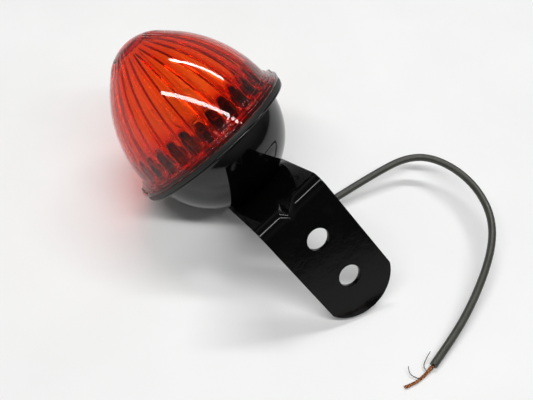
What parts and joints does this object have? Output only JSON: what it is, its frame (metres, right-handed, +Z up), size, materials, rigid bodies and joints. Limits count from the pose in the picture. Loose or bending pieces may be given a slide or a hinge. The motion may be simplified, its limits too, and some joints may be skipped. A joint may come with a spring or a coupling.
{
  "type": "marker lamp",
  "caption": "Ribbed red dome lamp with gasket and black bowl on a bent strap bracket with bolt holes, turn-off lens, bayonet bulb inside and one bare-ended lead.",
  "frame": {"origin": "centre of the lamp's own bounding box, lead left out, on the table that the lamp rests on", "axes": "+Z up from the table, +X along the lamp's length from the lens towards the bracket's tab, +Y across the lamp"},
  "size_m": [0.1896, 0.1125, 0.0783],
  "materials": {
    "red_lens": "clear red moulded, polished",
    "black_rubber": "matt black",
    "gloss_black_steel": "gloss black stove enamel",
    "black_strap_paint": "semi-gloss black paint over rolled steel",
    "zinc_plate": "bright zinc plate",
    "fibre_board": "brown pressed fibre",
    "brass": "drawn brass",
    "solder": "dull tin solder",
    "spring_steel": "bright wire",
    "bulb_glass": "clear blown glass",
    "lead_pvc": "satin grey-brown PVC",
    "bare_copper": "dull twisted copper strands"
  },
  "bodies": {
    "lamp_body": {"bowl": "gloss_black_steel", "lens_gasket": "black_rubber", "twist_ring": "gloss_black_steel", "bracket": "black_strap_paint", "flat_washer": "zinc_plate", "lock_washer": "zinc_plate", "stud_nut": "zinc_plate", "hollow_stud": "zinc_plate", "stud_bush": "black_rubber", "socket_cup": "zinc_plate", "socket_shell": "zinc_plate", "socket_rivets": "zinc_plate", "socket_insulator": "fibre_board", "contact_seat": "brass", "contact_spring": "spring_steel", "inner_lead": "lead_pvc", "lead": "lead_pvc", "strand_bundle": "bare_copper", "stray_strands": "bare_copper"},
    "lens": {"lens": "red_lens"},
    "plunger": {"contact_disc": "fibre_board", "contact_button": "brass"},
    "bulb": {"bulb_cap": "brass", "bulb_contact": "solder", "bulb_glass": "bulb_glass", "filament_posts": "spring_steel", "filament_bead": "bulb_glass", "bulb_filament": "spring_steel"}
  },
  "joints": [
    {"name": "lens_twist", "type": "hinge", "parent": "lamp_body", "child": "lens", "pos_m": [-0.02568, 0.00067, 0.0346], "axis": [-0.8034, 0, 0.5955], "range_deg": [0, 40]},
    {"name": "contact_push", "type": "slide", "parent": "lamp_body", "child": "plunger", "axis": [0.8034, 0, -0.5955], "range_m": [0, 0.002], "stiffness_N_per_m": 600, "deforming": ["contact_spring"]},
    {"name": "bulb_twist", "type": "hinge", "parent": "plunger", "child": "bulb", "pos_m": [-0.02568, 0.00067, 0.0346], "axis": [-0.8034, 0, 0.5955], "range_deg": [0, 20]}
  ]
}
